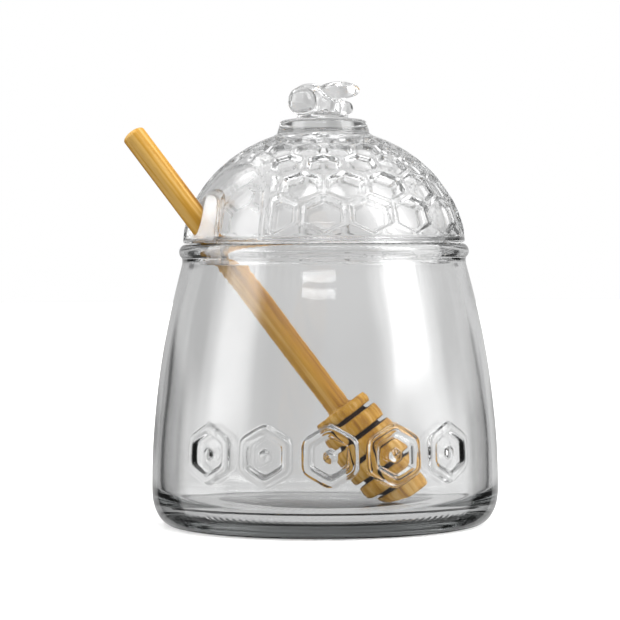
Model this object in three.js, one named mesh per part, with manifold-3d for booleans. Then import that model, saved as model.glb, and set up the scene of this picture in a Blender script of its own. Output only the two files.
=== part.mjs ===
// A clear glass honey jar in the shape of a beehive, with a domed glass lid and a wooden dipper.
//
// Millimetres, +Z up. The origin is the middle of the jar's flat underside. The front, with its
// row of raised honeycomb cells, faces -Y, and an azimuth is counted from the front towards +X.

import * as THREE from "three";
import { mergeVertices } from "three/addons/utils/BufferGeometryUtils.js";
import Module from "manifold-3d";

const wasm = await Module();
wasm.setup();

// Fit between pieces that rest on each other
const REST_GAP = 0.3;

// Jar
const BELLY_R = 59.7;
const BELLY_Z = 12;
const NECK_R = 48.6;
const NECK_Z = 90;
const BASE_R = 52.8;
const WALL = 3.9;
const FLOOR_Z = 5.5;
const FLOOR_R = 38;
const INNER_HEEL_Z = 18;
const RIM_R = 47.4;
const RIM_HALF_WIDTH = 2.45;
const RIM_HALF_HEIGHT = 2.6;
const RIM_TOP_Z = 96;
const JAR_SEGMENTS = 48;

// Row of raised cells on the jar's front
const EMBLEM_COUNT = 5;
const EMBLEM_PITCH_DEG = 20.8;
const EMBLEM_MIDDLE_DEG = 1.6;
const EMBLEM_Z = 27.3;
const EMBLEM_R = 10.7;
const EMBLEM_STROKE = 3.6;
const EMBLEM_STUD_R = 2.3;
const EMBLEM_RELIEF = 1.2;

// Lid: a dome that is a slice of an ellipsoid, with a straight foot and a locating ring
const DOME_A = 49.2;
const DOME_B = 43.9;
const DOME_Z = 92;
const DOME_WALL = 4.4;
const LID_R = 48.5;
const LID_Z = RIM_TOP_Z + REST_GAP;
const RING_OUTER_R = 43.6;
const RING_INNER_R = 40.6;
const RING_Z = 88.5;
const COLLAR_FOOT_R = 15.8;
const COLLAR_TOP_R = 15;
const COLLAR_Z = 133.4;
const COLLAR_TOP_Z = 138.4;
const COLLAR_CROWN = 1.3;
const LID_SEGMENTS = 36;

// Honeycomb on the lid
const CELLS_AROUND = 18;
const CELL_ROWS = 5;
const FIRST_ROW_Z = 105.9;
const ROW_STEP = 0.245;
const RIDGE = 1.9;
const CELL_DEPTH = 1.25;
const CELL_BEVEL = 0.12;

// Smooth arched door in the honeycomb, and the notch that the dipper leans out of
const DOOR_DEG = -57;
const DOOR_HALF_WIDTH = 25.3;
const DOOR_TOP_Z = 125.5;
const DOOR_DEPTH = 0.8;
const DOOR_FRAME = 1.7;
const NOTCH_DEG = -65;
const NOTCH_HALF_WIDTH = 11.5;
const NOTCH_TOP_Z = 112;

// Bee knob, in its own frame: forward, left and up from the middle of the collar
const BEE_HEADING_DEG = 230;
const BEE_Z = 139.2;
const WING_SWEEP_DEG = 70;

// Dipper
const DIPPER_LENGTH = 154.5;
const HANDLE_R = 4.05;
const DISC_RADII = [8.6, 10.7, 11.2, 11.1, 10.5];
const DISC_THICKNESS = 5.5;
const GROOVE_WIDTH = 1.5;
const GROOVE_DEPTH = 3;
const DISC_ROUND = 0.7;
const TOP_DISC_R = 9.75;
const TOP_DISC_THICKNESS = 3.9;
const DIPPER_X = 27.2;
const DIPPER_Y = -23.4;
const DIPPER_TILT_DEG = 36.8;
const DIPPER_YAW_DEG = -4.8;
const DIPPER_SEGMENTS = 24;

const rad = THREE.MathUtils.degToRad;

// Points of an elliptical arc in a profile, from one angle to another in degrees.
function arc(r, z, halfWidth, halfHeight, from, to, steps) {
  const points = [];
  for (let i = 0; i <= steps; i += 1) {
    const t = rad(from + ((to - from) * i) / steps);
    points.push(new THREE.Vector2(r + halfWidth * Math.cos(t), z + halfHeight * Math.sin(t)));
  }
  return points;
}

// A profile of (radius, height) points turned about the Z axis.
function turned(points, segments) {
  return new THREE.LatheGeometry(points, segments).rotateX(Math.PI / 2);
}

// A closed geometry as a solid for cutting and joining.
function solid(geometry) {
  const bare = geometry.clone();
  bare.deleteAttribute("normal");
  bare.deleteAttribute("uv");
  const merged = mergeVertices(bare, 1e-4);
  const vertProperties = new Float32Array(merged.attributes.position.array);
  const triVerts = new Uint32Array(merged.index.array);
  return new wasm.Manifold(new wasm.Mesh({ numProp: 3, vertProperties, triVerts }));
}

// A cut and joined solid as a geometry again.
function geometryOf(manifold) {
  const mesh = manifold.getMesh();
  const geometry = new THREE.BufferGeometry();
  geometry.setAttribute("position", new THREE.BufferAttribute(mesh.vertProperties, 3));
  geometry.setIndex(new THREE.BufferAttribute(mesh.triVerts, 1));
  geometry.computeVertexNormals();
  return geometry;
}

// Places a shape drawn in X (sideways) and Y (up) so that it faces outwards at an azimuth, and
// runs it outwards from one radius to another.
function prismAt(shape, azimuthDeg, innerR, outerR, z = 0) {
  const geometry = new THREE.ExtrudeGeometry(shape, { depth: outerR - innerR, bevelEnabled: false });
  geometry.rotateX(Math.PI / 2);
  geometry.translate(0, -innerR, z);
  geometry.rotateZ(rad(azimuthDeg));
  return solid(geometry);
}

// An arch that stands on a level line: a superellipse, run straight down below that line.
function archShape(halfWidth, baseZ, topZ, downTo, power) {
  const steps = 14;
  const shape = new THREE.Shape();
  shape.moveTo(halfWidth, downTo);
  for (let i = 0; i <= steps; i += 1) {
    const t = (Math.PI * i) / steps;
    const across = Math.sign(Math.cos(t)) * Math.abs(Math.cos(t)) ** (2 / power);
    shape.lineTo(halfWidth * across, baseZ + (topZ - baseZ) * Math.sin(t) ** (2 / power));
  }
  shape.lineTo(-halfWidth, downTo);
  return shape;
}

// The jar's side swells from the neck to the belly as a parabola.
function sideRadius(z) {
  const share = (z - BELLY_Z) / (NECK_Z - BELLY_Z);
  return BELLY_R - (BELLY_R - NECK_R) * share * share;
}

// Evenly spaced points of the side between two heights, a distance outside or inside it.
function sidePoints(fromZ, toZ, offset, steps) {
  const points = [];
  for (let i = 0; i <= steps; i += 1) {
    const z = fromZ + ((toZ - fromZ) * i) / steps;
    points.push(new THREE.Vector2(sideRadius(z) + offset, z));
  }
  return points;
}

function jarProfile() {
  const rimZ = RIM_TOP_Z - RIM_HALF_HEIGHT;
  const innerHeelR = sideRadius(INNER_HEEL_Z) - WALL;
  return [
    new THREE.Vector2(0, 0),
    ...arc(BASE_R, BELLY_Z, BELLY_R - BASE_R, BELLY_Z, -90, -15, 5),
    ...sidePoints(BELLY_Z, NECK_Z, 0, 7),
    ...arc(RIM_R, rimZ, RIM_HALF_WIDTH, RIM_HALF_HEIGHT, -45, 190, 8),
    ...sidePoints(NECK_Z - 1, INNER_HEEL_Z, -WALL, 6),
    ...arc(FLOOR_R, INNER_HEEL_Z, innerHeelR - FLOOR_R, INNER_HEEL_Z - FLOOR_Z, -18, -90, 4),
    new THREE.Vector2(0, FLOOR_Z),
  ];
}

// A six-sided outline with a corner at the top and bottom.
function hexagon(radius, Kind = THREE.Shape) {
  const outline = new Kind();
  for (let i = 0; i <= 6; i += 1) {
    const t = rad(90 + 60 * i);
    outline[i === 0 ? "moveTo" : "lineTo"](radius * Math.cos(t), radius * Math.sin(t));
  }
  return outline;
}

// One raised honeycomb cell with a stud in the middle, as tall prisms through the jar's wall.
function emblemPrism(azimuthDeg) {
  const ring = hexagon(EMBLEM_R);
  ring.holes.push(hexagon(EMBLEM_R - EMBLEM_STROKE * 1.15, THREE.Path));
  const stud = hexagon(EMBLEM_STUD_R);
  const innerR = BELLY_R - 6;
  const outerR = BELLY_R + 6;
  return prismAt(ring, azimuthDeg, innerR, outerR, EMBLEM_Z).add(
    prismAt(stud, azimuthDeg, innerR, outerR, EMBLEM_Z),
  );
}

// A band round the jar, from the middle of its wall out to the face of the raised cells.
function emblemBand() {
  const lowZ = EMBLEM_Z - EMBLEM_R - 1;
  const highZ = EMBLEM_Z + EMBLEM_R + 1;
  const outside = sidePoints(lowZ, highZ, EMBLEM_RELIEF, 3);
  const inside = sidePoints(highZ, lowZ, -WALL / 2, 3);
  return solid(turned([...outside, ...inside, outside[0]], JAR_SEGMENTS));
}

function jarGeometry() {
  const band = emblemBand();
  let jar = solid(turned(jarProfile(), JAR_SEGMENTS));
  for (let i = 0; i < EMBLEM_COUNT; i += 1) {
    const azimuth = EMBLEM_MIDDLE_DEG + (i - (EMBLEM_COUNT - 1) / 2) * EMBLEM_PITCH_DEG;
    jar = jar.add(emblemPrism(azimuth).intersect(band));
  }
  return geometryOf(jar);
}

// Radius and height on the dome at an angle of its ellipse, a distance inside its surface.
function domePoint(t, inset = 0) {
  return new THREE.Vector2(
    (DOME_A - inset) * Math.cos(t),
    DOME_Z + (DOME_B - inset) * Math.sin(t),
  );
}

// The angle of the dome's ellipse at a height, a distance inside its surface.
function domeAngle(z, inset = 0) {
  return Math.asin((z - DOME_Z) / (DOME_B - inset));
}

// Points up the dome between two angles, no wider than the lid's straight foot.
function domePoints(from, to, inset, steps) {
  const points = [];
  for (let i = 0; i <= steps; i += 1) {
    const point = domePoint(from + ((to - from) * i) / steps, inset);
    point.x = Math.min(point.x, LID_R - inset);
    points.push(point);
  }
  return points;
}

function lidProfile() {
  const insideFoot = LID_Z + 4;
  const collarAngle = Math.acos((COLLAR_FOOT_R + 1) / DOME_A);
  return [
    ...domePoints(Math.PI / 2, domeAngle(insideFoot, DOME_WALL), DOME_WALL, 6),
    new THREE.Vector2(RING_INNER_R, LID_Z - 1),
    new THREE.Vector2(RING_INNER_R, RING_Z),
    new THREE.Vector2(RING_OUTER_R, RING_Z),
    new THREE.Vector2(RING_OUTER_R, LID_Z),
    ...domePoints(domeAngle(LID_Z), collarAngle, 0, 8),
    new THREE.Vector2(COLLAR_FOOT_R, COLLAR_Z),
    new THREE.Vector2(COLLAR_TOP_R, COLLAR_TOP_Z - 1),
    new THREE.Vector2(COLLAR_TOP_R - 1, COLLAR_TOP_Z),
    new THREE.Vector2(COLLAR_TOP_R - 7, COLLAR_TOP_Z + COLLAR_CROWN * 0.8),
    new THREE.Vector2(0, COLLAR_TOP_Z + COLLAR_CROWN),
  ];
}

// Goes up the dome by a share of the radius there, which keeps cells in proportion as they shrink.
function climb(angle, share) {
  const steps = 40;
  let t = angle;
  for (let i = 0; i < steps; i += 1) {
    const speed = Math.hypot(DOME_A * Math.sin(t), DOME_B * Math.cos(t));
    t += ((share / steps) * DOME_A * Math.cos(t)) / speed;
  }
  return t;
}

// The cutter of one cell: a six-sided frustum whose small end is the cell's flat floor.
function cellCutter(t, azimuth) {
  const { x: r, y: z } = domePoint(t);
  const pitch = (2 * Math.PI) / CELLS_AROUND;
  const halfWidth = (r * pitch - RIDGE) / Math.sqrt(3);
  const halfHeight = ((4 / 3) * ROW_STEP * r - RIDGE) / 2;
  const above = 2;
  const mouth = 1 + CELL_BEVEL * (above + CELL_DEPTH / 2);
  const floor = 1 - CELL_BEVEL * (CELL_DEPTH / 2);
  const cutter = new THREE.CylinderGeometry(mouth, floor, above + CELL_DEPTH, 6);
  cutter.translate(0, (above - CELL_DEPTH) / 2, 0);
  cutter.scale(halfWidth, 1, halfHeight);

  const lean = Math.atan2(Math.sin(t) / DOME_B, Math.cos(t) / DOME_A);
  const outwards = new THREE.Vector3(
    Math.cos(lean) * Math.sin(azimuth),
    -Math.cos(lean) * Math.cos(azimuth),
    Math.sin(lean),
  );
  const upwards = new THREE.Vector3(
    -Math.sin(lean) * Math.sin(azimuth),
    Math.sin(lean) * Math.cos(azimuth),
    Math.cos(lean),
  );
  const sideways = new THREE.Vector3().crossVectors(outwards, upwards);
  const place = new THREE.Matrix4().makeBasis(sideways, outwards, upwards);
  place.setPosition(r * Math.sin(azimuth), -r * Math.cos(azimuth), z);
  return solid(cutter.applyMatrix4(place));
}

// All cells, row by row up the dome, with every second row turned by half a cell.
function honeycomb() {
  const cutters = [];
  let t = domeAngle(FIRST_ROW_Z);
  for (let row = 0; row < CELL_ROWS; row += 1) {
    for (let i = 0; i < CELLS_AROUND; i += 1) {
      const azimuth = ((i + (row % 2) / 2) * 2 * Math.PI) / CELLS_AROUND;
      cutters.push(cellCutter(t, azimuth));
    }
    t = climb(t, ROW_STEP);
  }
  return wasm.Manifold.union(cutters);
}

// The dome as a full solid, a distance inside its surface.
function domeCore(inset) {
  const profile = [
    new THREE.Vector2(0, RING_Z),
    new THREE.Vector2(LID_R - inset, RING_Z),
    ...domePoints(domeAngle(LID_Z), Math.PI / 2, inset, 12),
  ];
  return solid(turned(profile, LID_SEGMENTS));
}

function doorPrism(grow) {
  const halfWidth = DOOR_HALF_WIDTH + grow;
  return prismAt(archShape(halfWidth, LID_Z, DOOR_TOP_Z + grow, LID_Z - 2, 2.2), DOOR_DEG, 14, 60);
}

// One rounded lump of the bee, given by its middle, its half sizes and its turn about its length.
function lump([forward, left, up], halfSizes, heading = 0, roll = 0, detail = 10) {
  const geometry = new THREE.SphereGeometry(1, detail, Math.round(detail * 0.7));
  geometry.rotateX(Math.PI / 2);
  geometry.scale(...halfSizes);
  geometry.rotateX(roll);
  geometry.rotateZ(heading);
  geometry.translate(forward, left, up);
  geometry.rotateZ(rad(BEE_HEADING_DEG));
  geometry.translate(0, 0, BEE_Z);
  return solid(geometry);
}

// A bee with a round head, a ringed tail and two broad wings swept back, on a low foot.
function bee() {
  const parts = [
    lump([0, 0, 0.4], [12.5, 5.5, 1.9]),
    lump([11.1, 0, 5.5], [5, 5, 5], 0, 0, 12),
    lump([1.6, 0, 5.2], [5.4, 4.2, 4.4]),
  ];
  for (const [forward, half, around] of [[-3.4, 4.4, 3.5], [-8.4, 3.4, 3.2], [-12, 2.8, 2.8]]) {
    parts.push(lump([forward, 0, 3.8], [half, around, around]));
  }
  for (const side of [-1, 1]) {
    const sweep = Math.PI - side * rad(WING_SWEEP_DEG);
    const middle = [1.2 + 6.6 * Math.cos(sweep), 6.6 * Math.sin(sweep), 9.4];
    parts.push(lump(middle, [7.6, 4.7, 2.9], sweep, side * -0.2));
  }
  return wasm.Manifold.union(parts);
}

function lidGeometry() {
  const cells = honeycomb().subtract(doorPrism(DOOR_FRAME));
  const doorRecess = doorPrism(0).subtract(domeCore(DOOR_DEPTH));
  const notchShape = archShape(NOTCH_HALF_WIDTH, LID_Z, NOTCH_TOP_Z, RING_Z - 5, 2.6);
  const notch = prismAt(notchShape, NOTCH_DEG, 25, 60);
  return geometryOf(
    solid(turned(lidProfile(), LID_SEGMENTS)).subtract(cells).subtract(doorRecess).subtract(notch)
      .add(bee()),
  );
}

// The dipper stands on its Z axis, from the end of its head up to the round top of its handle.
function dipperProfile() {
  const points = [new THREE.Vector2(0, 0)];
  let z = 0;
  const addDisc = (radius, thickness) => {
    const core = radius - GROOVE_DEPTH;
    if (z > 0) points.push(new THREE.Vector2(core, z));
    points.push(new THREE.Vector2(radius - DISC_ROUND, z));
    points.push(new THREE.Vector2(radius, z + DISC_ROUND));
    points.push(new THREE.Vector2(radius, z + thickness - DISC_ROUND));
    points.push(new THREE.Vector2(radius - DISC_ROUND, z + thickness));
    points.push(new THREE.Vector2(core, z + thickness));
    z += thickness + GROOVE_WIDTH;
  };
  DISC_RADII.forEach((radius) => addDisc(radius, DISC_THICKNESS));
  addDisc(TOP_DISC_R, TOP_DISC_THICKNESS);
  points.pop();
  points.push(new THREE.Vector2(HANDLE_R, z - GROOVE_WIDTH + 0.3));
  points.push(...arc(0, DIPPER_LENGTH - 1.8, HANDLE_R, 1.8, 0, 90, 4));
  return points;
}

// Named pieces

function piece(name, geometry, color, roughness, opacity = 1) {
  const material = new THREE.MeshStandardMaterial({ color, roughness, metalness: 0 });
  material.transparent = opacity < 1;
  material.opacity = opacity;
  const mesh = new THREE.Mesh(geometry, material);
  mesh.name = name;
  return mesh;
}

const GLASS = 0xdfe2e2;
const WOOD = 0xcda261;

const jar = piece("jar", jarGeometry(), GLASS, 0.05, 0.35);
const lid = piece("lid", lidGeometry(), GLASS, 0.05, 0.35);
const dipper = piece("dipper", turned(dipperProfile(), DIPPER_SEGMENTS), WOOD, 0.6);

// The dipper leans on the rim, with the low edge of its last disc on the jar's floor.
const tilt = rad(DIPPER_TILT_DEG);
const leaning = new THREE.Group();
dipper.rotation.y = -tilt;
leaning.add(dipper);
leaning.rotation.z = rad(DIPPER_YAW_DEG);
const lowEdge = (DISC_RADII[0] - DISC_ROUND) * Math.sin(tilt);
leaning.position.set(DIPPER_X, DIPPER_Y, FLOOR_Z + REST_GAP + lowEdge);

const group = new THREE.Group();
group.add(jar, lid, leaning);

export default group;
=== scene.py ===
"""An empty glass honey jar in the shape of a beehive, with its domed lid and a wooden dipper."""

import math

import bpy
import numpy as np
from mathutils import Euler, Matrix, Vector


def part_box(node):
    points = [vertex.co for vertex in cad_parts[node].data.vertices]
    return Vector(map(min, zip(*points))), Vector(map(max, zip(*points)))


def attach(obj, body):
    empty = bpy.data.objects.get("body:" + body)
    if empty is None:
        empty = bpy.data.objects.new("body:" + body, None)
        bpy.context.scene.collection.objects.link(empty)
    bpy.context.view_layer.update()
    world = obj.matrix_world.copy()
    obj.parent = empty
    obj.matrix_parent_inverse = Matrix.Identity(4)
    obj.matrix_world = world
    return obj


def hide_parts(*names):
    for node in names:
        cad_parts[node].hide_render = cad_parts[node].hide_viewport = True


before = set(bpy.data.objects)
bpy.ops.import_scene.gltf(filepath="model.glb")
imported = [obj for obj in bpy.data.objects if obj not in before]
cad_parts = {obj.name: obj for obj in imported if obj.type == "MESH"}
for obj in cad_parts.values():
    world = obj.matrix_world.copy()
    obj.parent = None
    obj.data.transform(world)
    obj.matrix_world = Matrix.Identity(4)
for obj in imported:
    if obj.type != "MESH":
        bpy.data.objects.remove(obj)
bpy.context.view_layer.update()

bl_info = {
    "name": "Honey jar with dipper",
    "version": (1, 0, 0),
    "blender": (4, 5, 0),
    "location": "3D View > Sidebar > Honey jar",
    "description": "Glass beehive jar, honeycomb lid with a bee knob, and a turned wooden dipper",
    "category": "Object",
}

ROOT = "root"
JAR_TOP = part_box("jar")[1].z

# How finely the jar is cut up: finer across the raised cells
CELL_ROW_STEP = 0.00042
FRONT_STEP = math.radians(0.4)
BACK_STEP = math.radians(1.12)
# Radius of the small ring of points round a pole, which a fan of triangles closes
POLE_RADIUS = 0.004


def length(name, millimetres, description):
    """A size that is given in millimetres and kept in metres."""
    return bpy.props.FloatProperty(
        name=name, description=description, default=millimetres / 1000,
        min=0, precision=5, unit="LENGTH", subtype="DISTANCE",
    )


def angle(name, degrees, description):
    """An angle that is given in degrees and kept in radians."""
    return bpy.props.FloatProperty(
        name=name, description=description, default=math.radians(degrees),
        unit="ROTATION", subtype="ANGLE",
    )


def share(name, value, description):
    """A plain number without a unit."""
    return bpy.props.FloatProperty(name=name, description=description, default=value, precision=4)


def count(name, value, description):
    """A number of things."""
    return bpy.props.IntProperty(name=name, description=description, default=value, min=1)


def colour(name, red, green, blue, description):
    """A colour in linear light."""
    return bpy.props.FloatVectorProperty(
        name=name, description=description, default=(red, green, blue),
        size=3, min=0, max=1, subtype="COLOR",
    )


class JarSizes(bpy.types.PropertyGroup):
    """Sizes of the jar."""

    belly_radius: length("Belly radius", 59.7, "Radius at the widest height")
    belly_height: length("Belly height", 12, "Height of the widest ring above the table")
    neck_radius: length("Neck radius", 48.6, "Radius under the rim bead")
    neck_height: length("Neck height", 90, "Height of the neck")
    base_radius: length("Base radius", 52.8, "Radius where the heel turns in")
    ring_radius: length("Bearing ring radius", 38.5, "Inner radius of the ring that the jar stands on")
    push_up: length("Push-up", 2, "Height of the hollow under the base")
    rib_depth: length("Rib depth", 0.08, "Depth of the fine ribs on the bearing ring")
    rib_count: count("Ribs", 120, "Number of fine ribs round the bearing ring")
    wall: length("Wall", 3.9, "Thickness of the side wall")
    floor_height: length("Floor height", 5.5, "Height of the floor inside")
    floor_radius: length("Floor radius", 46, "Radius of the level floor inside")
    inner_heel_height: length("Inner heel height", 13.5, "Height where the inner wall turns in")
    rim_radius: length("Rim radius", 47.4, "Radius of the middle of the rim bead")
    rim_half_width: length("Rim half width", 2.45, "Half the width of the rim bead")
    rim_half_height: length("Rim half height", 2.6, "Half the height of the rim bead")
    outer_waves: length("Outer waves", 0.12, "Unevenness of the glass outside")
    inner_waves: length("Inner waves", 0.3, "Unevenness of the glass inside")
    cell_count: count("Cells", 5, "Raised cells on the front")
    cell_pitch: angle("Cell pitch", 20.8, "Angle from one raised cell to the next")
    cell_middle: angle("Cell middle", 1.6, "Azimuth of the middle cell")
    cell_height: length("Cell height", 27.3, "Height of the row of raised cells")
    cell_radius: length("Cell radius", 10.7, "Radius of a raised cell at its corners")
    cell_stroke: length("Cell stroke", 3.6, "Width of a raised cell's border")
    stud_radius: length("Stud radius", 2.3, "Radius of the stud in a raised cell")
    cell_relief: length("Cell relief", 1.2, "How far the cells stand out")


class LidSizes(bpy.types.PropertyGroup):
    """Sizes of the lid."""

    dome_radius: length("Dome radius", 49.2, "Half width of the dome's ellipse")
    dome_rise: length("Dome rise", 43.9, "Half height of the dome's ellipse")
    dome_middle: length("Dome middle", 92, "Height of the ellipse's middle")
    foot_radius: length("Foot radius", 48.5, "Radius of the lid's straight foot")
    foot_height: length("Foot height", 96.3, "Height of the lid's foot on the rim")
    wall: length("Wall", 4.4, "Thickness of the dome")
    ring_outer: length("Ring outer radius", 43.6, "Outer radius of the locating ring")
    ring_inner: length("Ring inner radius", 40.6, "Inner radius of the locating ring")
    ring_height: length("Ring height", 88.5, "Height of the locating ring's lower edge")
    collar_foot: length("Collar foot radius", 15.8, "Radius of the collar where it meets the dome")
    collar_radius: length("Collar radius", 15, "Radius at the top of the collar")
    collar_top: length("Collar top", 138.4, "Height of the collar's edge")
    collar_crown: length("Collar crown", 1.3, "Rise of the collar's top")
    cells_around: count("Cells around", 18, "Cells in each row of the honeycomb")
    cell_rows: count("Cell rows", 5, "Rows of the honeycomb")
    first_row: length("First row", 105.9, "Height of the middle of the lowest row")
    row_step: share("Row step", 0.245, "Climb from row to row, as a share of the radius there")
    ridge: length("Ridge", 1.5, "Width of the flat top of the ridges")
    bevel: length("Bevel", 1.1, "Width of the slope from a ridge to the cell's floor")
    cell_depth: length("Cell depth", 1.25, "Depth of the cells")
    door_azimuth: angle("Door azimuth", -57, "Azimuth of the middle of the smooth door")
    door_half_width: length("Door half width", 25.3, "Half the width of the door")
    door_top: length("Door top", 125.5, "Height of the top of the door")
    door_depth: length("Door depth", 0.8, "Depth of the door below the ridges")
    door_frame: length("Door frame", 1.7, "Width of the plain frame round the door")
    notch_azimuth: angle("Notch azimuth", -65, "Azimuth of the middle of the notch")
    notch_half_width: length("Notch half width", 11.5, "Half the width of the notch")
    notch_top: length("Notch top", 112, "Height of the top of the notch")
    notch_lip: length("Notch lip", 1.1, "Radius of the rounded edge of the notch")
    bee_heading: angle("Bee heading", 230, "Direction that the bee faces")
    bee_height: length("Bee height", 139.2, "Height that the bee stands at")
    wing_sweep: angle("Wing sweep", 70, "Angle of the wings to the bee's back")
    bee_grain: length("Bee grain", 0.42, "Finest detail of the bee")


class DipperSizes(bpy.types.PropertyGroup):
    """Sizes and place of the dipper."""

    whole: length("Length", 154.5, "Length from end to end")
    handle_radius: length("Handle radius", 4.05, "Radius of the handle")
    disc_thickness: length("Disc thickness", 5.3, "Thickness of the discs")
    top_disc_thickness: length("Top disc thickness", 3.8, "Thickness of the disc at the handle")
    groove_width: length("Groove width", 1.4, "Width of the grooves")
    groove_depth: length("Groove depth", 3, "Depth of the grooves")
    edge_round: length("Edge round", 0.9, "Rounding of the discs' edges")
    foot: bpy.props.FloatVectorProperty(
        name="Foot", description="Middle of the end of the head", size=3,
        default=(0.0272, -0.0234, 0.010532), unit="LENGTH", subtype="TRANSLATION", precision=5,
    )
    tilt: angle("Tilt", 36.8, "Lean from upright")
    yaw: angle("Yaw", -4.8, "Turn of the lean about the upright axis")


class Finishes(bpy.types.PropertyGroup):
    """Colours of the glass, the wood and the stage."""

    glass: colour("Glass", 1.0, 1.0, 1.0, "Surface colour of the glass")
    glass_tint: colour("Glass tint", 0.63, 0.64, 0.64, "Colour that thick glass takes")
    jar_depth: share("Jar glass depth", 42, "How fast the jar's glass takes its tint, per metre")
    lid_depth: share("Lid glass depth", 22, "How fast the lid's glass takes its tint, per metre")
    wood_light: colour("Light wood", 0.57, 0.345, 0.09, "Paler streaks of the wood")
    wood_mid: colour("Mid wood", 0.46, 0.235, 0.025, "Main colour of the wood")
    wood_dark: colour("Dark wood", 0.25, 0.10, 0.01, "Darker streaks of the wood")
    # Darkest colour of the dipper: full in the grooves, and painted shade over the discs' edges, the head's
    # end and the handle's foot
    darkening: colour("Burnt groove", 0.035, 0.013, 0.005, "Colour of the burnt grooves")
    floor: colour("Floor", 0.92, 0.92, 0.92, "Colour of the pale floor")
    # Painted shade that only the glass sees: the dark disc under the jar and the black strip round it
    disc_shade: colour("Disc card", 0.13, 0.13, 0.13, "Colour of the dark card under the jar")
    strip_shade: colour("Strip card", 0.02, 0.02, 0.02, "Colour of the black card round the jar")


GROUPS = {
    "honey_jar": JarSizes,
    "honey_lid": LidSizes,
    "honey_dipper": DipperSizes,
    "honey_finish": Finishes,
}


# Surfaces as whole arrays


# Distance from a hexagon's middle to its flat, as a share of the distance to its corner
HEX_FLAT = math.sqrt(0.75)


def ramp(x, low, high):
    """Straight from 0 at low to 1 at high, and level outside."""
    return np.clip((x - low) / (high - low), 0, 1)


def smooth(x, low, high):
    """From 0 at low to 1 at high with level ends: 3 t^2 - 2 t^3 of the share t."""
    t = ramp(x, low, high)
    return t * t * (3 - 2 * t)


def arc(r, z, half_width, half_height, start, stop, points):
    """Profile points r + a cos t, z + b sin t of an ellipse, between two angles in degrees."""
    t = np.radians(np.linspace(start, stop, points))
    return np.stack([r + half_width * np.cos(t), z + half_height * np.sin(t)], 1)


def bend(start, corner, stop, points):
    """Profile points of a quadratic curve that leaves start towards corner and arrives at stop."""
    t = np.linspace(0, 1, points)[:, None]
    return (1 - t) ** 2 * np.array(start) + 2 * t * (1 - t) * np.array(corner) + t ** 2 * np.array(stop)


def turned(radii, heights, azimuths):
    """Points r sin a, -r cos a, z for grids of radii and heights, with a counted from the front."""
    radii, heights, azimuths = np.broadcast_arrays(radii, heights, azimuths)
    return np.stack([radii * np.sin(azimuths), -radii * np.cos(azimuths), heights], -1)


def closed_shell(name, grid):
    """A mesh from rows of points that run round, with a fan of triangles over each end row.

    Row by row the points go once round the upright axis, counter-clockwise from above. The rows
    follow the profile from its lower or inner middle to its upper middle, so faces look outwards.
    """
    rows, columns, _ = grid.shape
    poles = np.stack([grid[0].mean(0), grid[-1].mean(0)])
    points = np.concatenate([grid.reshape(-1, 3), poles])
    here = np.arange(columns)
    after = (here + 1) % columns
    low = np.arange(rows - 1)[:, None] * columns
    quads = np.stack([low + here, low + after, low + columns + after, low + columns + here], -1)
    first, last = rows * columns, rows * columns + 1
    top = (rows - 1) * columns
    fans = np.concatenate([
        np.stack([np.full(columns, first), after, here], -1),
        np.stack([top + here, top + after, np.full(columns, last)], -1),
    ])
    mesh = bpy.data.meshes.new(name)
    mesh.from_pydata(points.tolist(), [], quads.reshape(-1, 4).tolist() + fans.tolist())
    mesh.polygons.foreach_set("use_smooth", np.ones(len(mesh.polygons), bool))
    piece = bpy.data.objects.new(name, mesh)
    bpy.context.scene.collection.objects.link(piece)
    return piece


def settle(piece, *modifiers):
    """Applies modifiers, each given as a kind and its settings, to the piece's mesh."""
    for kind, settings in modifiers:
        modifier = piece.modifiers.new(kind.title(), kind)
        for key, value in settings.items():
            setattr(modifier, key, value)
    bpy.context.view_layer.update()
    evaluated = piece.evaluated_get(bpy.context.evaluated_depsgraph_get())
    mesh = bpy.data.meshes.new_from_object(evaluated)
    piece.modifiers.clear()
    piece.data = mesh
    return piece


def drop(*pieces):
    """Removes tools that a cut or a join no longer needs."""
    for piece in pieces:
        bpy.data.objects.remove(piece)


def boolean(piece, operation, tool):
    """Joins a tool to the piece or cuts it away."""
    settle(piece, ("BOOLEAN", {"operation": operation, "object": tool, "solver": "MANIFOLD"}))
    if not piece.data.polygons:
        raise RuntimeError(f"the {operation.lower()} left nothing of {piece.name}")
    drop(tool)


def crease(piece, degrees):
    """Smooth faces, with a sharp edge wherever two faces meet at more than an angle."""
    mesh = piece.data
    mesh.polygons.foreach_set("use_smooth", np.ones(len(mesh.polygons), bool))
    mesh.set_sharp_from_angle(angle=math.radians(degrees))


def hand_over(piece, node, material):
    """Gives the piece its finish and lets it stand for its node."""
    piece.data.materials.clear()
    piece.data.materials.append(material)
    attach(piece, ROOT)
    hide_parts(node)


# Jar


def side_radius(jar, z):
    """The side is a parabola: its radius falls with the square of the height over the belly."""
    share_up = (z - jar.belly_height) / (jar.neck_height - jar.belly_height)
    return jar.belly_radius - (jar.belly_radius - jar.neck_radius) * share_up ** 2


def side_rows(jar, heights, inside=0.0):
    """Profile points of the side at some heights, a distance inside it."""
    return np.stack([side_radius(jar, heights) - inside, heights], 1)


def hex_reach(u, v):
    """Distance from a hexagon's middle to its side through (u, v), with rounded corners.

    It is a high norm of the point's parts along the three directions across the flats: the higher
    the power, the sharper the corners.
    """
    power = 12
    slant = v * HEX_FLAT
    parts = np.stack([np.abs(u), np.abs(u / 2 + slant), np.abs(u / 2 - slant)])
    return (parts ** power).sum(0) ** (1 / power)


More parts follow.
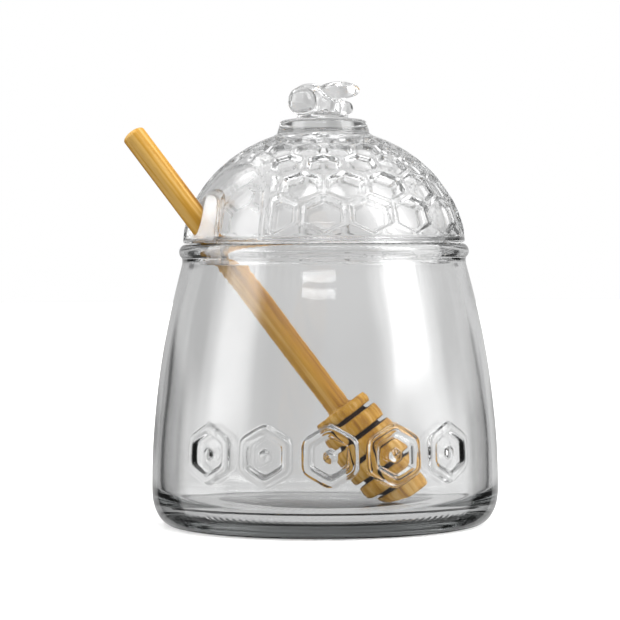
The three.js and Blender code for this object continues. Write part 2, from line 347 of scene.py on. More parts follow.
def cell_relief(jar, azimuths, heights):
    """Height of the raised cells over the side: a round-topped border and a round stud in each.

    Across the border the height is (1 - |t|^2.5)^0.7 of the relief, with t from -1 to 1, and over
    the stud it is (1 - t^2)^0.7.
    """
    border = jar.cell_stroke / 2
    middle = jar.cell_radius * HEX_FLAT - border
    relief = np.zeros(np.broadcast(azimuths, heights).shape)
    for index in range(jar.cell_count):
        azimuth = jar.cell_middle + (index - (jar.cell_count - 1) / 2) * jar.cell_pitch
        u, v = np.broadcast_arrays((azimuths - azimuth) * jar.belly_radius, heights - jar.cell_height)
        reach = hex_reach(u, v)
        ring = np.clip(1 - np.abs((reach - middle) / border) ** 2.5, 0, 1) ** 0.7
        stud = np.clip(1 - (reach / (jar.stud_radius * HEX_FLAT)) ** 2, 0, 1) ** 0.7
        relief = np.maximum(relief, np.maximum(ring, stud))
    return relief * jar.cell_relief


def waves(azimuths, heights):
    """Slow unevenness between 0 and 1: three sines that run round and up at different rates."""
    total = (
        np.sin(3 * azimuths + 95 * heights)
        + np.sin(5 * azimuths - 140 * heights + 1)
        + np.sin(2 * azimuths + 210 * heights + 2)
    )
    return 0.5 + total / 6


def jar_azimuths(jar):
    """Azimuths once round, closer together across the raised cells."""
    margin = math.radians(1.5)
    reach = jar.cell_pitch * jar.cell_count / 2 + margin
    start, stop = jar.cell_middle - reach, jar.cell_middle + reach
    front = np.arange(start, stop, FRONT_STEP)
    back = np.arange(stop, start + 2 * math.pi, BACK_STEP)
    return np.concatenate([front, back])


def jar_rows(jar):
    """The jar's outer and inner profile, from the middle of the underside to the inner floor."""
    half, tall = jar.rim_half_width, jar.rim_half_height
    rim_height = JAR_TOP - tall
    cell_margin = 0.0008
    low_cell = jar.cell_height - jar.cell_radius - cell_margin
    high_cell = jar.cell_height + jar.cell_radius + cell_margin
    under_neck = jar.neck_height - 0.0015
    bead_foot = (jar.neck_radius - 0.0002, jar.neck_height + 0.0011)
    bead = arc(jar.rim_radius, rim_height, half, tall, -40, 188, 22)
    shoulder = side_rows(jar, np.array([under_neck]))[0]
    hollow = np.linspace(POLE_RADIUS, jar.ring_radius, 8)
    under = np.stack([hollow, jar.push_up * (1 - (hollow / jar.ring_radius) ** 2)], 1)
    ring = np.stack([np.linspace(jar.ring_radius, jar.base_radius, 14)[1:-1], np.zeros(12)], 1)
    heel_width = jar.belly_radius - jar.base_radius
    heel = arc(jar.base_radius, jar.belly_height, heel_width, jar.belly_height, -90, -4, 16)
    cells = np.arange(low_cell, high_cell, CELL_ROW_STEP)
    outer = np.concatenate([
        under, ring, heel,
        side_rows(jar, np.linspace(jar.belly_height, low_cell, 5)[:-1]),
        side_rows(jar, cells),
        side_rows(jar, np.linspace(high_cell, under_neck, 24)[:-1]),
        bend(shoulder, bead_foot, bead[0], 7)[:-1],
        bead,
    ])
    inner_heel = side_radius(jar, jar.inner_heel_height) - jar.wall
    fall = jar.inner_heel_height - jar.floor_height
    inner_heights = np.linspace(jar.neck_height - 0.001, jar.inner_heel_height, 26)[:-1]
    inner_floor = np.linspace(jar.floor_radius, POLE_RADIUS, 8)[1:]
    inner = np.concatenate([
        side_rows(jar, inner_heights, jar.wall),
        arc(jar.floor_radius, jar.inner_heel_height, inner_heel - jar.floor_radius, fall, 0, -90, 14),
        np.stack([inner_floor, np.full(7, jar.floor_height)], 1),
    ])
    return outer, inner


def jar_grid(jar):
    """The jar as rows of points: both profiles turned, with cells, ribs and slow waves.

    The waves fade out towards the heel and the neck, and the ribs towards the ring's edges.
    """
    outer, inner = jar_rows(jar)
    fade_start, fade_stop = jar.neck_height - 0.006, jar.neck_height - 0.001
    azimuths = jar_azimuths(jar)
    centred = (azimuths - jar.cell_middle + math.pi) % (2 * math.pi) - math.pi + jar.cell_middle
    r, z = outer[:, :1], outer[:, 1:]
    on_side = smooth(z, jar.belly_height * 0.4, jar.belly_height)
    on_side = on_side * (1 - smooth(z, fade_start, fade_stop))
    radii = r + cell_relief(jar, centred, z) * (r > jar.neck_radius)
    radii = radii - jar.outer_waves * on_side * waves(azimuths, z)
    on_ring = smooth(r, jar.ring_radius, jar.ring_radius + 0.003)
    on_ring = on_ring * (1 - smooth(r, jar.base_radius - 0.004, jar.base_radius - 0.001))
    heights = z + jar.rib_depth * on_ring * (0.5 - 0.5 * np.cos(jar.rib_count * azimuths))
    outside = turned(radii, heights, azimuths)

    r, z = inner[:, :1], inner[:, 1:]
    on_wall = smooth(z, jar.floor_height + 0.0005, jar.inner_heel_height + 0.0025)
    on_wall = on_wall * (1 - smooth(z, jar.neck_height - 0.010, fade_stop))
    radii = r + jar.inner_waves * on_wall * (waves(azimuths, z * 0.8 + 0.02) - 0.5)
    inside = turned(radii, z, azimuths)
    return np.concatenate([outside, inside])


# Lid


def dome(lid, t, inset=0.0):
    """Radius and height at an angle t of the dome's ellipse, a distance inside it."""
    return (lid.dome_radius - inset) * np.cos(t), lid.dome_middle + (lid.dome_rise - inset) * np.sin(t)


def dome_angle(lid, z, inset=0.0):
    """The angle of the dome's ellipse at a height."""
    return math.asin((z - lid.dome_middle) / (lid.dome_rise - inset))


def climb(lid, angles):
    """Climb up the dome, in which cells keep their shape: the sum of steps along it over radius."""
    steepest = 1.4
    fine = np.linspace(0, steepest, 2800)
    r, z = dome(lid, fine)
    steps = np.hypot(np.diff(r), np.diff(z)) / ((r[1:] + r[:-1]) / 2)
    return np.interp(angles, fine, np.concatenate([[0], np.cumsum(steps)]))


def comb_depth(lid, azimuths, climbs, radii):
    """Depth of the honeycomb: 0 on the ridges, then a straight slope down to each cell's floor.

    Around and up the dome the cells are regular hexagons with a corner on top. A point belongs to
    the nearer of the cells in the row below and above it, and its distance to the cell's side,
    scaled by the width of a cell there, gives the depth.
    """
    pitch = 2 * math.pi / lid.cells_around
    rise = (climbs - climb(lid, dome_angle(lid, lid.first_row))) / lid.row_step
    depth = np.zeros(np.broadcast(azimuths, climbs).shape)
    for row in (np.floor(rise), np.floor(rise) + 1):
        shift = (row % 2) / 2
        u = azimuths / pitch - shift
        u = np.abs(u - np.round(u))
        v = np.abs(rise - row) * HEX_FLAT
        to_side = (0.5 - np.maximum(u, u / 2 + v * HEX_FLAT)) * pitch * radii
        in_comb = (row >= 0) & (row < lid.cell_rows)
        slope = ramp(to_side, lid.ridge / 2, lid.ridge / 2 + lid.bevel)
        depth = np.maximum(depth, np.where(in_comb, slope, 0))
    return depth * lid.cell_depth


def arch_inside(half_width, low, top, power, x, z):
    """Distance inside an arch: 1 less its superellipse radius, scaled by the half width."""
    up = np.clip(z - low, 0, None) / (top - low)
    return (1 - (np.abs(x / half_width) ** power + up ** power) ** (1 / power)) * half_width


def lid_relief(lid, azimuths, climbs, radii, heights):
    """Depth below the plain dome of the honeycomb and of the smooth door with its frame."""
    arch_power = 2.2
    far_away = 1.0
    off = azimuths - lid.door_azimuth
    sideways = np.where(np.cos(off) > 0, radii * np.sin(off), far_away)
    inside = arch_inside(lid.door_half_width, lid.foot_height, lid.door_top, arch_power, sideways, heights)
    comb = comb_depth(lid, azimuths, climbs, radii)
    comb = comb * ramp(-inside, lid.door_frame, lid.door_frame + lid.bevel)
    door = lid.door_depth * ramp(inside, -0.0002, 0.001)
    return np.maximum(comb, door)


def lid_grid(lid):
    """The lid as rows of points: inside of the dome, locating ring, relief outside, and collar.

    Inside, the dome ends on a narrow ledge over the locating ring. Outside, it meets the straight
    foot without a kink, because its radius is the soft minimum of the dome's and the foot's.
    """
    azimuths = np.linspace(-math.pi, math.pi, 28 * lid.cells_around, endpoint=False)
    top_angle = math.pi / 2 - 0.04
    inner_foot = dome_angle(lid, lid.foot_height + 0.0024, lid.wall)
    r, z = dome(lid, np.linspace(top_angle, inner_foot, 20), lid.wall)
    edge, corner = 0.0006, 0.0008
    r_in, r_out, low, foot = lid.ring_inner, lid.ring_outer, lid.ring_height, lid.foot_height
    ledge = foot + 0.0014
    inside = np.concatenate([
        np.stack([r, z], 1),
        bend((r[-1], z[-1] - 0.0002), (r[-1], ledge), (r[-1] - corner, ledge), 4),
        bend((r_in + corner, ledge), (r_in, ledge), (r_in, ledge - corner), 4),
        bend((r_in, low + edge), (r_in, low), (r_in + edge, low), 4),
        bend((r_out - edge, low), (r_out, low), (r_out, low + edge), 4),
        bend((r_out, foot - edge), (r_out, foot), (r_out + edge, foot), 4),
        bend((lid.foot_radius - 0.001, foot), (lid.foot_radius, foot), (lid.foot_radius, foot + 0.001), 5),
    ])
    radii, heights = inside[:, :1], inside[:, 1:]
    on_dome = smooth(heights, foot + 0.0017, foot + 0.0097)
    unevenness = 0.0002 * on_dome * (waves(azimuths, heights) - 0.5)
    rows = [turned(radii + unevenness, heights, azimuths)]

    start = dome_angle(lid, foot + 0.0016)
    stop = math.acos((lid.collar_foot + 0.0013) / lid.dome_radius)
    t = np.linspace(start, stop, 100)[:, None]
    r, z = dome(lid, t)
    softness = 0.0003
    r = -softness * np.logaddexp(-r / softness, -lid.foot_radius / softness)
    depth = lid_relief(lid, azimuths, climb(lid, t), r, z)
    lean = np.arctan2(np.sin(t) / lid.dome_rise, np.cos(t) / lid.dome_radius)
    rows.append(turned(r - depth * np.cos(lean), z - depth * np.sin(lean), azimuths))

    r_top, z_top = r[-1, 0], z[-1, 0] + 0.0003
    foot_r, top_r, top_z = lid.collar_foot, lid.collar_radius, lid.collar_top
    crown = np.linspace(top_r - 0.0016, 0.002, 8)
    collar = np.concatenate([
        bend((r_top - 0.0003, z_top), (foot_r, z_top), (foot_r - 0.0001, z_top + 0.0015), 5),
        bend((top_r + 0.0001, top_z - 0.0016), (top_r, top_z), (top_r - 0.0014, top_z + 0.0001), 6),
        np.stack([crown, top_z + lid.collar_crown * (1 - (crown / top_r) ** 2)], 1),
    ])
    rows.append(turned(collar[:, :1], collar[:, 1:], azimuths))
    return np.concatenate(rows)


def notch_cutter(lid):
    """The cutter of the notch: an arch that widens at the dome's outer and inner surface.

    Each station carries the arch outwards to its own distance, measured where the arch meets the
    dome, and grown by the lip at both surfaces, which rounds the notch's edges.
    """
    lip, foot = lid.notch_lip, lid.foot_height
    leg_length, overshoot, arch_power = 0.014, 0.012, 2.6
    t = np.linspace(0, math.pi, 49)
    across = np.sign(np.cos(t)) * np.abs(np.cos(t)) ** (2 / arch_power)
    up = np.abs(np.sin(t)) ** (2 / arch_power)
    legs = np.linspace(leg_length, 0, 9)[:-1]
    x = np.concatenate([np.full(8, 1.0), across, np.full(8, -1.0)]) * lid.notch_half_width
    z = np.concatenate([-legs, up * (lid.notch_top - foot), -legs[::-1]]) + foot
    height = np.clip(z, lid.dome_middle, None) - lid.dome_middle
    outer = np.minimum(lid.dome_radius * np.sqrt(1 - (height / lid.dome_rise) ** 2), lid.foot_radius)
    outer = np.sqrt(np.clip(outer ** 2 - x ** 2, 0, None)) - lid.door_depth
    rise_in, radius_in = lid.dome_rise - lid.wall, lid.dome_radius - lid.wall
    inner = radius_in * np.sqrt(np.clip(1 - (height / rise_in) ** 2, 0, 1))
    inner = np.where(z < foot + 0.002, lid.ring_inner, inner)
    inner = np.sqrt(np.clip(inner ** 2 - x ** 2, 0, None))
    outward = np.stack([x, np.maximum(z - foot, 0)], 1)
    outward /= np.maximum(np.linalg.norm(outward, axis=1, keepdims=True), 1e-6)
    stations = []
    for base, offset in (
        (inner, -overshoot), (inner, -0.4 * lip), (inner, 0.3 * lip), (inner, lip),
        (outer, -lip), (outer, -0.3 * lip), (outer, 0.4 * lip), (outer, overshoot),
    ):
        in_glass = offset > 0 if base is inner else offset < 0
        grow = lip - abs(offset) if in_glass else lip
        stations.append(np.stack([x + outward[:, 0] * grow, -(base + offset), z + outward[:, 1] * grow], 1))
    grid = np.stack(stations)
    turn = np.array(Matrix.Rotation(lid.notch_azimuth, 3, "Z"))
    piece = closed_shell("notch_cutter", grid @ turn.T)
    piece.data.flip_normals()
    return piece


def lump(middle, half_sizes, heading=0.0, roll=0.0):
    """Points of one rounded lump of the bee: a sphere scaled, rolled and turned."""
    detail = 28
    pole = math.pi / 2 - 0.06
    around = np.linspace(0, 2 * math.pi, detail, endpoint=False)
    up = np.linspace(-pole, pole, detail // 2)[:, None]
    points = turned(np.cos(up), np.sin(up), around) * np.array(half_sizes)
    matrix = Euler((roll, 0, heading)).to_matrix()
    return points @ np.array(matrix).T + np.array(middle)


def bee_lumps(lid):
    """The bee's lumps in its own frame, millimetres forward, left and up from the collar."""
    lumps = [
        lump((0, 0, 0.2), (12.5, 5.5, 2.1)),
        lump((11.1, 0, 5.5), (5, 5, 5)),
        lump((5.6, 0, 5.0), (3.4, 2.6, 3.0)),
        lump((1.6, 0, 5.2), (5.4, 4.2, 4.4)),
    ]
    for forward, half, round_half in ((-3.4, 4.0, 3.6), (-8.4, 3.2, 3.3), (-12.0, 2.8, 2.8)):
        lumps.append(lump((forward, 0, 3.8), (half, round_half, round_half)))
    for side in (-1, 1):
        sweep = math.pi - side * lid.wing_sweep
        middle = (1.2 + 6.6 * math.cos(sweep), 6.6 * math.sin(sweep), 9.4)
        lumps.append(lump(middle, (7.6, 4.7, 2.9), sweep, side * -0.2))
    return lumps


def bee(lid):
    """The bee as one soft-edged body: its lumps joined, remeshed and smoothed."""
    turn = np.array(Matrix.Rotation(lid.bee_heading, 3, "Z"))
    lift = np.array([0, 0, lid.bee_height])
    tools = []
    for index, points in enumerate(bee_lumps(lid)):
        tools.append(closed_shell(f"bee_{index}", (points / 1000) @ turn.T + lift))
    body = tools[0]
    for tool in tools[1:]:
        boolean(body, "UNION", tool)
    settle(
        body,
        ("REMESH", {"mode": "VOXEL", "voxel_size": lid.bee_grain, "use_smooth_shade": True}),
        ("SMOOTH", {"factor": 0.5, "iterations": 8}),
    )
    return body


# Dipper


# Radii of the discs in metres, from the end of the head to the handle
DISC_RADII = (0.0086, 0.0107, 0.0112, 0.0111, 0.0105, 0.00975)


def dipper_rows(dipper):
    """The dipper's profile, from the end of its head to its tip, and how far each point is darkened.

    The darkening is full in the grooves, fades as painted shade over each disc's rounded edges, and is a
    faint painted shade on the end of the head and where the handle leaves it.
    """
    depth, edge, swelling = dipper.groove_depth, dipper.edge_round, 0.0002
    end_darkening, neck_darkening, handle_darkening = 0.25, 0.3, 0.12
    fading = np.array([0.7, 0.5, 0.3, 0.15, 0.06, 0])
    points, darkening_shares = [np.array([[0.0004, 0.0], [0.004, 0.0]])], [np.full(2, end_darkening)]
    height = 0.0
    last = len(DISC_RADII) - 1
    for index, radius in enumerate(DISC_RADII):
        thickness = dipper.disc_thickness if index < last else dipper.top_disc_thickness
        core, top = radius - depth, height + thickness
        halfway = (core + radius - edge) / 2
        bulge = np.linspace(height + edge, top - edge, 7)[1:-1]
        swell = radius + swelling * np.sin((bulge - height) / thickness * math.pi)
        points += [
            np.array([[core, height], [halfway, height]]),
            bend((radius - edge, height), (radius, height), (radius, height + edge), 6),
            np.stack([swell, bulge], 1),
            bend((radius, top - edge), (radius, top), (radius - edge, top), 6),
            np.array([[halfway, top], [core, top]]),
        ]
        low_darkening = 1.0 if index else end_darkening
        high_darkening = 1.0 if index < last else neck_darkening
        darkening_shares += [
            low_darkening * np.array([1, 0.9]), low_darkening * fading, np.zeros(5),
            high_darkening * fading[::-1], high_darkening * np.array([0.9, 1]),
        ]
        height = top + dipper.groove_width
    height = top
    points[-1] = points[-1][:1]
    darkening_shares[-1] = darkening_shares[-1][:1]
    grip, flare, tip_round = dipper.handle_radius, 0.0012, 0.0018
    tip = dipper.whole - tip_round
    handle = np.linspace(height + flare, tip, 60)[1:-1]
    points += [
        bend((grip + flare, height), (grip, height), (grip, height + flare), 5),
        np.stack([np.full(58, grip), handle], 1),
        arc(0, tip, grip, tip_round, 0, 84, 9),
    ]
    darkening_shares += [np.linspace(neck_darkening, handle_darkening, 5), np.zeros(58), np.zeros(9)]
    return np.concatenate(points), np.concatenate(darkening_shares)


def dipper_grid(dipper):
    """The dipper standing on its axis, as rows of points, and how far each one is darkened.

    Two sines that run round and up, of 0.4% and 0.3% of the radius, make it a little uneven.
    """
    rows, darkening_shares = dipper_rows(dipper)
    azimuths = np.linspace(0, 2 * math.pi, 96, endpoint=False)
    r, z = rows[:, :1], rows[:, 1:]
    uneven = 0.004 * np.sin(2 * azimuths + 60 * z) + 0.003 * np.sin(3 * azimuths - 41 * z + 1)
    return turned(r * (1 + uneven), z + 0 * azimuths, azimuths), np.repeat(darkening_shares, len(azimuths))


def place_dipper(dipper, points):
    """Leans the standing dipper over and moves the end of its head to its place."""
    lean = Matrix.Rotation(dipper.yaw, 3, "Z") @ Matrix.Rotation(-dipper.tilt, 3, "Y")
    return points @ np.array(lean).T + np.array(dipper.foot)


# Materials


class Nodes:
    """Short ways to add and join shader nodes in one tree."""

    def __init__(self, tree):
        self.tree = tree
        tree.nodes.clear()

    def add(self, kind, settings=(), **inputs):
        """A node with its settings, and its inputs set or joined by name."""
        node = self.tree.nodes.new(kind)
        for key, value in dict(settings).items():
            setattr(node, key, value)
        for key, value in inputs.items():
            self.put(node, key.replace("_", " "), value)
        return node

    def put(self, node, key, value):
        """Joins a socket to an input, or sets the input to a value."""
        socket = node.inputs[int(key)] if key.isdigit() else node.inputs[key]
        if isinstance(value, bpy.types.NodeSocket):
            self.tree.links.new(value, socket)
        else:
            socket.default_value = value

    def math(self, operation, first, second=0.0, third=1.0, clamp=False):
        """The result of a sum, product or other operation."""
        node = self.add("ShaderNodeMath", {"operation": operation, "use_clamp": clamp})
        self.put(node, "0", first)
        self.put(node, "1", second)
        self.put(node, "2", third)
        return node.outputs[0]

    def span(self, value, low, high, start=0.0, stop=1.0):
        """Carries a value from one range to another with level ends."""
        node = self.add("ShaderNodeMapRange", {"interpolation_type": "SMOOTHSTEP"})
        for key, number in (
            ("Value", value), ("From Min", low), ("From Max", high), ("To Min", start), ("To Max", stop),
        ):
            self.put(node, key, number)
        return node.outputs["Result"]

    def blend(self, factor, first, second):
        """A mix of two colours."""
        node = self.add("ShaderNodeMix", {"data_type": "RGBA"})
        self.put(node, "0", factor)
        self.put(node, "6", first)
        self.put(node, "7", second)
        return node.outputs[2]

    def noise(self, vector, scale, detail=2.0, roughness=0.5):
        """Smooth noise between 0 and 1."""
        settings = {"Vector": vector, "Scale": scale, "Detail": detail, "Roughness": roughness}
        return self.add("ShaderNodeTexNoise", **settings).outputs[0]


def rgba(value):
    """A colour property as four numbers."""
    return (*value, 1.0)


# Bare wood's noise, in cycles per metre across, across and along the grain
BROAD_STREAKS = (230.0, 230.0, 8.0)
FINE_STREAKS = (900.0, 900.0, 30.0)
PORES = (3600.0, 3600.0, 190.0)
DARK_PATCHES = (90.0, 90.0, 45.0)
# Mould skin and smudges of the glass, in cycles per metre
MOULD_SKIN = 900.0
SMUDGES = 45.0


def clear_glass(name, finish, depth, ripple):
    """Thick moulded glass: clear, with slow ripples and a fine mould skin in its bump.

    The tint builds up with the way through the glass, so thick parts and edges look darker.
    """
    skin_share, glass_ior, smudge_roughness = 0.12, 1.5, 0.035
    material = bpy.data.materials.new(name)
    material.use_nodes = True
    nodes = Nodes(material.node_tree)
    place = nodes.add("ShaderNodeTexCoord").outputs["Object"]
    slow = nodes.noise(place, ripple, 1.0)
    fine = nodes.noise(place, MOULD_SKIN, 3.0, 0.6)
    height = nodes.math("ADD", slow, nodes.math("MULTIPLY", fine, skin_share))
    bump = nodes.add("ShaderNodeBump", Strength=0.10, Distance=0.0006, Height=height)
    rough = nodes.span(nodes.noise(place, SMUDGES, 2.0), 0.35, 0.75, 0.0, smudge_roughness)
    shader = nodes.add("ShaderNodeBsdfPrincipled")
    for key, value in (
        ("Base Color", rgba(finish.glass)), ("Roughness", rough), ("IOR", glass_ior),
        ("Transmission Weight", 1.0), ("Normal", bump.outputs[0]),
    ):
        nodes.put(shader, key, value)
    tint = nodes.add("ShaderNodeVolumeAbsorption", Color=rgba(finish.glass_tint), Density=depth)
    out = nodes.add("ShaderNodeOutputMaterial")
    nodes.put(out, "Surface", shader.outputs[0])
    nodes.put(out, "Volume", tint.outputs[0])
    return material


def turned_wood(finish):
    """Bare turned hardwood: streaks along the grain, fine pores, and dark grooves with painted shade round
    them.

    The attribute "grain" holds each point's place before the dipper was leaned over, so streaks run along
    its length, and "darkening" says how far the wood is darkened there: full in the grooves, and as painted
    shade over the discs' edges, the head's end and the handle's foot.
    """
    material = bpy.data.materials.new("turned_wood")
    material.use_nodes = True
    nodes = Nodes(material.node_tree)
    grain = nodes.add("ShaderNodeAttribute", {"attribute_name": "grain"}).outputs["Vector"]
    darkening = nodes.add("ShaderNodeAttribute", {"attribute_name": "darkening"}).outputs["Fac"]

    def along(stretch):
        """The place in the standing dipper, scaled differently along and across the grain."""
        mapping = nodes.add("ShaderNodeMapping", {"vector_type": "POINT"}, Vector=grain, Scale=stretch)
        return mapping.outputs[0]

    broad = nodes.noise(along(BROAD_STREAKS), 1.0, 2.0)
    streak = nodes.noise(along(FINE_STREAKS), 1.0, 4.0, 0.6)
    pores = nodes.noise(along(PORES), 1.0, 2.0, 0.7)
    patch = nodes.noise(along(DARK_PATCHES), 1.0, 2.0)
    tone = nodes.math("ADD", nodes.math("MULTIPLY", broad, 0.62), nodes.math("MULTIPLY", streak, 0.38))
    pale = nodes.blend(nodes.span(tone, 0.40, 0.52), rgba(finish.wood_light), rgba(finish.wood_mid))
    wood = nodes.blend(nodes.span(tone, 0.50, 0.66), pale, rgba(finish.wood_dark))
    wood = nodes.blend(nodes.span(pores, 0.62, 0.78, 0.0, 0.35), wood, rgba(finish.wood_dark))
    # Dark grooves, and painted shade over the discs' edges, the head's end and the handle's foot, in uneven
    # patches
    dark_share = nodes.math("MULTIPLY", darkening, nodes.span(patch, 0.2, 0.6, 0.75, 1.15), clamp=True)
    wood = nodes.blend(nodes.span(dark_share, 0.02, 0.9), wood, rgba(finish.darkening))
    relief = nodes.math("ADD", streak, nodes.math("MULTIPLY", pores, 0.5))
    bump = nodes.add("ShaderNodeBump", Strength=0.35, Distance=0.00025, Height=relief)
    shader = nodes.add("ShaderNodeBsdfPrincipled")
    rough = nodes.span(streak, 0.3, 0.7, 0.48, 0.66)
    for key, value in (
        ("Base Color", wood), ("Roughness", rough), ("Normal", bump.outputs[0]),
        ("Specular IOR Level", 0.25),
    ):
        nodes.put(shader, key, value)
    out = nodes.add("ShaderNodeOutputMaterial")
    nodes.put(out, "Surface", shader.outputs[0])
    return material


def matt(name, tone):
    """A matt finish without a sheen."""
    material = bpy.data.materials.new(name)
    material.use_nodes = True
    nodes = Nodes(material.node_tree)
    shader = nodes.add("ShaderNodeBsdfPrincipled")
    for key, value in (("Base Color", tone), ("Roughness", 0.9), ("Specular IOR Level", 0.0)):
        nodes.put(shader, key, value)
    out = nodes.add("ShaderNodeOutputMaterial")
    nodes.put(out, "Surface", shader.outputs[0])
    return material


# Stage


# Light of the studio: level with the jar, overhead, the share of it near the ground, and how much
# more of it reaches the wood behind the glass
LEVEL_LIGHT = 0.7
CEILING_LIGHT = 1.45
FOOT_SHARE = 0.9
INSIDE_LIFT = 0.5


def studio_light(world):
    """A grey studio with soft boxes: what the glass reflects and refracts, and what lights all.

    The camera itself sees plain white. Every other ray sees a level grey near the horizon, a
    brighter ceiling, a slightly darker foot, soft boxes mostly at both sides, and dark flags.
    """
    world.use_nodes = True
    nodes = Nodes(world.node_tree)
    direction = nodes.add("ShaderNodeTexCoord").outputs["Generated"]
    parts = nodes.add("ShaderNodeSeparateXYZ", Vector=direction).outputs
    up = nodes.math("ARCSINE", parts[2])
    around = nodes.math("ARCTAN2", parts[0], nodes.math("MULTIPLY", parts[1], -1.0))
    low_ceiling, high_ceiling, low_foot, high_foot = (math.radians(x) for x in (30, 60, -50, -10))

    def band(value, low, high, soft):
        """1 between two angles in degrees, falling to 0 over a soft edge."""
        low, high, soft = (math.radians(x) for x in (low, high, soft))
        rise = nodes.span(value, low - soft, low)
        return nodes.math("MULTIPLY", rise, nodes.span(value, high, high + soft, 1.0, 0.0))

    light = nodes.span(up, low_ceiling, high_ceiling, LEVEL_LIGHT, CEILING_LIGHT)
    light = nodes.math("MULTIPLY", light, nodes.span(up, low_foot, high_foot, FOOT_SHARE, 1.0))
    for left, right, low, high, soft, strength in BOXES:
        box = nodes.math("MULTIPLY", band(around, left, right, soft), band(up, low, high, soft))
        light = nodes.math("ADD", light, nodes.math("MULTIPLY", box, strength))
    for left, right, low, high, soft, keep in FLAGS:
        flag = nodes.math("MULTIPLY", band(around, left, right, soft), band(up, low, high, soft))
        light = nodes.math("MULTIPLY", light, nodes.span(flag, 0.0, 1.0, 1.0, keep))
    path = nodes.add("ShaderNodeLightPath").outputs
    scattered = nodes.math("MINIMUM", path["Diffuse Depth"], 1.0)
    inside = nodes.math("MULTIPLY", path["Is Transmission Ray"], scattered)
    light = nodes.math("MULTIPLY", light, nodes.math("MULTIPLY_ADD", inside, INSIDE_LIFT))
    seen = path["Is Camera Ray"]
    studio = nodes.add("ShaderNodeBackground", Color=(1.0, 1.0, 1.0, 1.0), Strength=light)
    white = nodes.add("ShaderNodeBackground", Color=(1.0, 1.0, 1.0, 1.0), Strength=1.0)
    mix = nodes.add("ShaderNodeMixShader")
    nodes.put(mix, "0", seen)
    nodes.put(mix, "1", studio.outputs[0])
    nodes.put(mix, "2", white.outputs[0])
    out = nodes.add("ShaderNodeOutputWorld")
    nodes.put(out, "Surface", mix.outputs[0])


# Soft boxes: left and right azimuth, low and high elevation and soft edge in degrees, and strength.
# The azimuth counts from the camera's side towards the right.
BOXES = [
    (-80, -60, 8, 34, 12, 3.2),
    (-101, -90, 38, 45, 4, 2.6),
    (-138, -127, 40, 48, 4, 2.0),
    (54, 78, 14, 60, 6, 4.0),
    (46, 82, 10, 60, 12, 2.0),
    (-22, 9, 31.95, 32.65, 0.15, 8.0),
    (-18, 9, 26.9, 27.6, 0.15, 7.0),
    (-30, 30, 62, 74, 3, 5.0),
    (-125, -60, 25, 60, 12, 0.6),
    (60, 125, 25, 60, 12, 1.2),
    (75, 108, -16, 2, 8, 1.2),
    (-108, -75, -16, 2, 8, 1.2),
]
# Dark flags: the same five numbers, and the share of light that is left
FLAGS = [
    (118, 142, -42, 0, 7, 0.1),
    (-143, -116, -42, 1, 8, 0.1),
    (-40, 40, -22, 14, 12, 0.35),
    (-172, -144, -30, 30, 10, 0.8),
]


def painted_shade_cards(finish):
    """Painted shade on the floor that only the glass sees: a dark disc under the jar and a black strip
    round it.

    The disc shows through the jar's floor as painted shade under it. The narrow strip lies under the turn
    of the heel, all round but for the back, and draws the jar's lower edge dark with painted shade.
    """
    low, steps = -0.0001, 96
    points, faces = [], []
    for inner, outer, reach in ((0.0005, 0.0375, 180), (0.0525, 0.0545, 150)):
        around = np.radians(np.linspace(-reach, reach, steps + 1))
        here = np.arange(steps) + sum(len(part) for part in points)
        above = here + steps + 1
        points.append(turned(np.array([[inner], [outer]]), low, around).reshape(-1, 3))
        faces.append(np.stack([here, above, above + 1, here + 1], 1))
    mesh = bpy.data.meshes.new("shade_card")
    mesh.from_pydata(np.concatenate(points).tolist(), [], np.concatenate(faces).tolist())
    mesh.polygons.foreach_set("material_index", np.repeat([0, 1], steps))
    for name, tone in (("disc_shade", finish.disc_shade), ("strip_shade", finish.strip_shade)):
        mesh.materials.append(matt(name, rgba(tone)))
    shade_card = bpy.data.objects.new("shade_card", mesh)
    shade_card.visible_camera = False
    shade_card.visible_diffuse = False
    shade_card.visible_shadow = False
    bpy.context.scene.collection.objects.link(shade_card)
    return shade_card


def aim_camera():
    """The photograph's camera: level with the rim, 0.86 m in front, with a slight dip and roll."""
    distance, height = 0.862, 0.0922
    dip, roll, turn = (math.radians(x) for x in (1.26, 0.3, 0.32))
    widths_of_focus = 2500 / 620
    camera = bpy.data.cameras.new("camera")
    camera.sensor_width = 36
    camera.lens = widths_of_focus * camera.sensor_width
    holder = bpy.data.objects.new("camera", camera)
    holder.location = (0, -distance, height)
    holder.rotation_euler = (math.pi / 2 - dip, roll, turn)
    bpy.context.scene.collection.objects.link(holder)
    bpy.context.scene.camera = holder


class BuildJar(bpy.types.Operator):
    """Makes the glass jar with its raised cells"""

    bl_idname = "honey.build_jar"
    bl_label = "Jar"

    def execute(self, context):
        """Turns the jar's profile into a glass piece that stands for the node jar."""
        scene = context.scene
        finish = scene.honey_finish
        piece = closed_shell("jar_glass", jar_grid(scene.honey_jar))
        glass = clear_glass("jar_glass", finish, finish.jar_depth, 55.0)
        hand_over(piece, "jar", glass)
        return {"FINISHED"}


class BuildLid(bpy.types.Operator):
    """Makes the domed glass lid with its honeycomb, notch and bee"""

    bl_idname = "honey.build_lid"
    bl_label = "Lid"

    def execute(self, context):
        """Turns the lid's profile, cuts the notch and joins the bee to it."""
        scene = context.scene
        lid, finish = scene.honey_lid, scene.honey_finish
        piece = closed_shell("lid_glass", lid_grid(lid))
        boolean(piece, "DIFFERENCE", notch_cutter(lid))
        boolean(piece, "UNION", bee(lid))
        crease(piece, 50)
        glass = clear_glass("lid_glass", finish, finish.lid_depth, 70.0)
        hand_over(piece, "lid", glass)
        return {"FINISHED"}


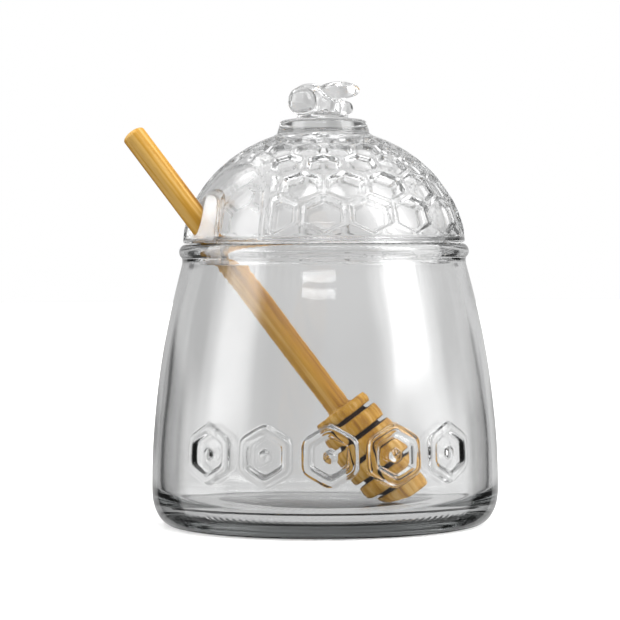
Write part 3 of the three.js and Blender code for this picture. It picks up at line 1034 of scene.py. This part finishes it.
class BuildDipper(bpy.types.Operator):
    """Makes the turned wooden dipper"""

    bl_idname = "honey.build_dipper"
    bl_label = "Dipper"

    def execute(self, context):
        """Turns the dipper, leans it in the jar and keeps its grain in attributes."""
        scene = context.scene
        dipper = scene.honey_dipper
        grid, darkening_shares = dipper_grid(dipper)
        piece = closed_shell("dipper_wood", place_dipper(dipper, grid))
        ends = np.array([[0, 0, grid[0, 0, 2]], [0, 0, grid[-1, 0, 2]]])
        grain = piece.data.attributes.new("grain", "FLOAT_VECTOR", "POINT")
        grain.data.foreach_set("vector", np.concatenate([grid.reshape(-1, 3), ends]).ravel())
        # How far each point is darkened: dark grooves, and painted shade round them
        darkening = piece.data.attributes.new("darkening", "FLOAT", "POINT")
        darkening.data.foreach_set("value", np.concatenate([darkening_shares, darkening_shares[[0, -1]]]))
        crease(piece, 60)
        hand_over(piece, "dipper", turned_wood(scene.honey_finish))
        return {"FINISHED"}


class BuildStage(bpy.types.Operator):
    """Makes the pale floor, the soft studio light and the camera"""

    bl_idname = "honey.build_stage"
    bl_label = "Stage"

    def execute(self, context):
        """Lays the floor just under the jar, and sets the light and the camera."""
        scene = context.scene
        mesh = bpy.data.meshes.new("floor")
        half, low = 4.0, -0.0002
        corners = [(-half, -half, low), (half, -half, low), (half, half, low), (-half, half, low)]
        mesh.from_pydata(corners, [], [(0, 1, 2, 3)])
        mesh.materials.append(matt("floor", rgba(scene.honey_finish.floor)))
        floor = bpy.data.objects.new("floor", mesh)
        floor.visible_transmission = False
        floor.visible_glossy = False
        floor.visible_diffuse = False
        scene.collection.objects.link(floor)
        # Painted shade on the floor under and round the jar, seen only through the glass
        shade_card = painted_shade_cards(scene.honey_finish)
        scene.world = bpy.data.worlds.new("studio")
        studio_light(scene.world)
        aim_camera()
        scene.view_settings.view_transform = "Standard"
        scene.cycles.max_bounces = 24
        scene.cycles.transmission_bounces = 24
        scene.cycles.glossy_bounces = 10
        return {"FINISHED"}


class HoneyPanel(bpy.types.Panel):
    """Lists the pieces and the sizes that can be changed"""

    bl_idname = "HONEY_PT_pieces"
    bl_label = "Honey jar"
    bl_space_type = "VIEW_3D"
    bl_region_type = "UI"
    bl_category = "Honey jar"

    def draw(self, context):
        """One button for each operator, and the sizes and colours below."""
        layout = self.layout
        for operator in OPERATORS:
            layout.operator(operator.bl_idname, text=operator.bl_label)
        for group in GROUPS:
            box = layout.box()
            values = getattr(context.scene, group)
            for key in values.__annotations__:
                box.prop(values, key)


OPERATORS = [BuildJar, BuildLid, BuildDipper, BuildStage]
CLASSES = [*GROUPS.values(), *OPERATORS, HoneyPanel]


def register():
    """Registers the classes and hangs the sizes on the scene."""
    for cls in CLASSES:
        bpy.utils.register_class(cls)
    for name, group in GROUPS.items():
        setattr(bpy.types.Scene, name, bpy.props.PointerProperty(type=group))


def unregister():
    """Takes the sizes and the classes away again."""
    for name in GROUPS:
        delattr(bpy.types.Scene, name)
    for cls in reversed(CLASSES):
        bpy.utils.unregister_class(cls)


def main():
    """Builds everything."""
    register()
    bpy.ops.honey.build_jar()
    bpy.ops.honey.build_lid()
    bpy.ops.honey.build_dipper()
    bpy.ops.honey.build_stage()
    bpy.context.view_layer.update()


if __name__ == "__main__":
    main()
